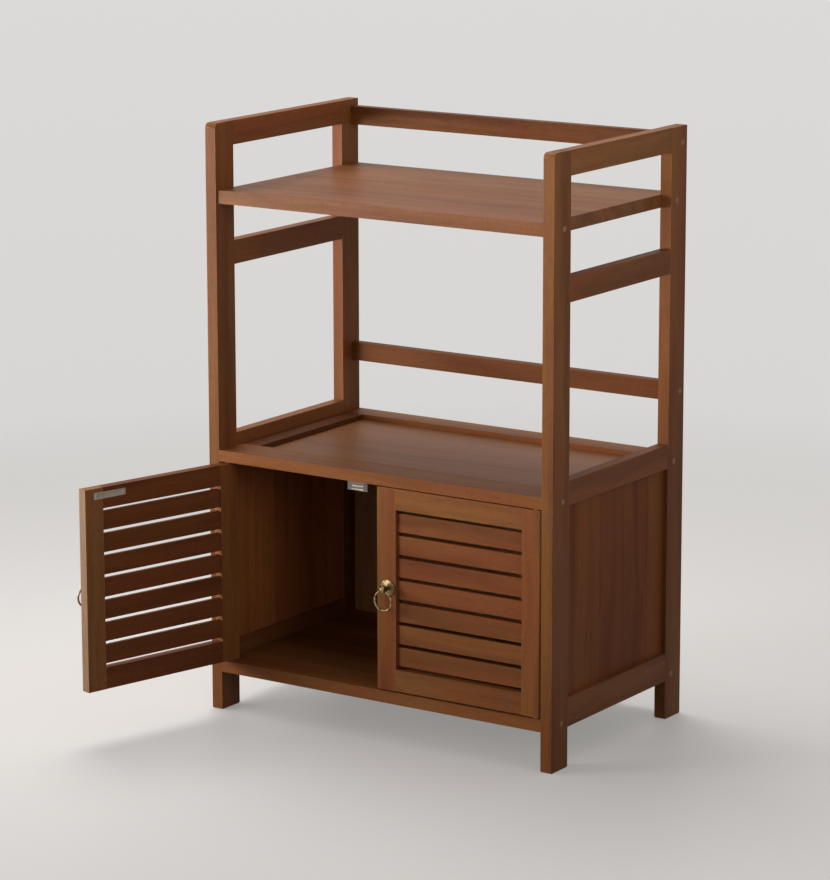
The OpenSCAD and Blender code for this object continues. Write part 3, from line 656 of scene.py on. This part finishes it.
# %% Screws of the catches
TURN_PER_METRE = 40
low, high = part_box("catch_screws")
bm = bmesh.new()
for node in ("left_catch", "right_catch"):
    catch_low, catch_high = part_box(node)
    for x in (catch_low.x + SCREW_TO_END, catch_high.x - SCREW_TO_END):
        seat = Matrix.Translation((x, (low.y + high.y) / 2, low.z + HEAD_HEIGHT))
        turn = Matrix.Rotation(x * TURN_PER_METRE, 4, "Z")
        add_screw(bm, seat @ Matrix.Rotation(math.pi, 4, "X") @ turn,
                  high.z - low.z - HEAD_HEIGHT)
finish_piece("catch_screw_set", bm, plated_steel, "carcass", ["catch_screws"])

# %% [markdown]
# ## Strike plates
#
# The magnet pulls on a small pressed steel plate on the inner face of each door. A press leaves
# round corners, a soft rim and a shallow panel between the screws, so a block gets its corners
# and its rim bevelled and its face inset.

# %% Pressed plates
CORNER_RADIUS, RIM_RADIUS = 0.0018, 0.00035
RIM_WIDTH, STEP_WIDTH, STEP_DEPTH = 0.0009, 0.0005, 0.0001


def add_strike_plate(bm, place, length, width, thickness):
    """A plate that lies flat about the origin, with its pressed face up."""
    box = Matrix.Diagonal((length, width, thickness, 1))
    bmesh.ops.create_cube(bm, size=1, matrix=box)
    corners = [e for e in bm.edges if abs((e.verts[0].co - e.verts[1].co).z) > 1e-6]
    bmesh.ops.bevel(bm, geom=corners, offset=CORNER_RADIUS, segments=5, profile=0.5,
                    affect="EDGES", material=-1)
    face = max(bm.faces, key=lambda f: f.calc_center_median().z)
    bmesh.ops.bevel(bm, geom=list(face.edges), offset=RIM_RADIUS, segments=3, profile=0.5,
                    affect="EDGES", material=-1)
    face = max(bm.faces, key=lambda f: f.calc_center_median().z)
    bmesh.ops.inset_region(bm, faces=[face], thickness=RIM_WIDTH, depth=0)
    bmesh.ops.inset_region(bm, faces=[face], thickness=STEP_WIDTH, depth=-STEP_DEPTH)
    carry(bm, bm.verts, place)


for side, place in DOORS.items():
    bm = bmesh.new()
    seat = place @ Matrix.Translation(plate_middle) @ FACING_BACK
    add_strike_plate(bm, seat, plate_length, plate_width, plate_thickness)
    finish_piece(side + "_pressed_plate", bm, plated_steel, side + "_door",
                 [side + "_strike_plate"])

# %% [markdown]
# ## Ribs on the catches
#
# The magnet sits in a moulded housing whose front carries upright ribs on both sides of the
# steel pole plates. They stand a third of a millimetre proud, less than the pole plates, so the
# door still lands on the poles.

# %% Ribs in front of the magnets
RIB_OFFSETS = (-0.0160, -0.0138, -0.0116, 0.0116, 0.0138, 0.0160)
RIB_WIDTH, RIB_THICKNESS = 0.0011, 0.0007
RIB_SHORTER, RIB_EASE = 0.003, 0.0003

bm = bmesh.new()
for node in ("left_catch", "right_catch"):
    low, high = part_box(node)
    middle = (low.x + high.x) / 2
    for offset in RIB_OFFSETS:
        rib = bmesh.ops.create_cube(bm, size=1)["verts"]
        size = Matrix.Diagonal((RIB_WIDTH, RIB_THICKNESS, high.z - low.z - RIB_SHORTER, 1))
        seat = Matrix.Translation((middle + offset, low.y, (low.z + high.z) / 2))
        carry(bm, rib, seat @ size)
upright = [e for e in bm.edges if abs((e.verts[0].co - e.verts[1].co).z) > 0.001]
bmesh.ops.bevel(bm, geom=upright, offset=RIB_EASE, segments=3, profile=0.5,
                affect="EDGES", material=-1)
finish_piece("catch_ribs", bm, catch_plastic, "carcass")

# %% [markdown]
# ## Floor and light
#
# The cabinet stands in a bright room with a window in front, on its left. A large lamp stands
# for the window: it is aimed above the middle of the cabinet, and its narrow beam leaves the
# feet darker, as they are in the photograph. A low lamp on the left shines on the edge of the
# open door, one overhead lights the shelf, and a weak one on the right keeps the side panel
# from going black. An even white world fills the rest. The floor and the world are brighter
# for the camera and for reflections than for the wood, so the ground stays pale without more
# light on the cabinet, and far from the cabinet the floor fades into an even backdrop.

# %% World
AMBIENT, SEEN = 0.33, 0.66

world = bpy.data.worlds.new("room")
world.use_nodes = True
bpy.context.scene.world = world
room = Graph(world.node_tree)
background = room.tree.nodes["Background"]
room.feed(background.inputs["Color"], (1.0, 0.98, 0.96, 1.0))
room.feed(background.inputs["Strength"], room.seen() * (SEEN - AMBIENT) + AMBIENT)
print("the world is", AMBIENT, "bright for the wood and", SEEN, "for the camera")

# %% Floor
BACKDROP = paint(207, 205, 203)
PALE = paint(236, 232, 228)
DIM = paint(112, 109, 105)
BLACK = paint(0, 0, 0)
FADE_START, FADE_LENGTH, LEAST_FADE = 0.7, 1.6, 0.36

floor_mesh = bpy.data.meshes.new("floor")
bm = bmesh.new()
bmesh.ops.create_grid(bm, x_segments=1, y_segments=1, size=40)
bm.to_mesh(floor_mesh)
bm.free()
floor = bpy.data.objects.new("floor", floor_mesh)
bpy.context.scene.collection.objects.link(floor)

pale = Finish("pale_floor", {"Roughness": 0.5, "Specular IOR Level": 0.2,
                             "Emission Strength": 1.0})
reach = pale.node("VectorMath", {"operation": "LENGTH"}, {0: pale.place()}).outputs["Value"]
fade = ((Number(pale, reach) - FADE_START) / FADE_LENGTH).limited()
far = (fade * (1 - LEAST_FADE) + LEAST_FADE) * pale.seen()
ground = pale.mix(pale.seen(), DIM, PALE)
pale.set("Base Color", pale.mix(far, ground, BLACK))
pale.set("Emission Color", pale.mix(far, BLACK, BACKDROP))
floor_mesh.materials.append(pale.material)
print("the floor fades from", FADE_START, "to", round(FADE_START + FADE_LENGTH, 3))


# %% Lamps
MIDDLE = Vector((0, 0, 0.5))


def lamp(name, azimuth, elevation, distance, size, level, aim, spread):
    """A soft square lamp that lights a face turned to it at about that level."""
    azimuth, elevation = math.radians(azimuth), math.radians(elevation)
    towards = Vector((math.sin(azimuth) * math.cos(elevation),
                      -math.cos(azimuth) * math.cos(elevation), math.sin(elevation)))
    light = bpy.data.lights.new(name, "AREA")
    light.size = size
    light.spread = math.radians(spread)
    light.energy = level * math.pi ** 2 * distance ** 2
    lit = bpy.data.objects.new(name, light)
    lit.visible_camera = False
    lit.location = MIDDLE + towards * distance
    lit.rotation_euler = (lit.location - Vector(aim)).to_track_quat("Z", "Y").to_euler()
    bpy.context.scene.collection.objects.link(lit)
    print(name, [round(v, 2) for v in lit.location])


lamp("window", azimuth=-46, elevation=9, distance=2.4, size=1.3, level=0.228,
     aim=(0.05, 0, 1.04), spread=66)
lamp("left_glow", azimuth=-78, elevation=1, distance=2.2, size=1.2, level=0.2,
     aim=(-0.3, -0.3, 0.45), spread=110)
lamp("ceiling", azimuth=-120, elevation=66, distance=2.3, size=1.5, level=0.36,
     aim=(0, 0, 0.6), spread=120)
lamp("right_fill", azimuth=62, elevation=20, distance=1.7, size=0.9, level=0.064,
     aim=(0, 0, 1.1), spread=76)
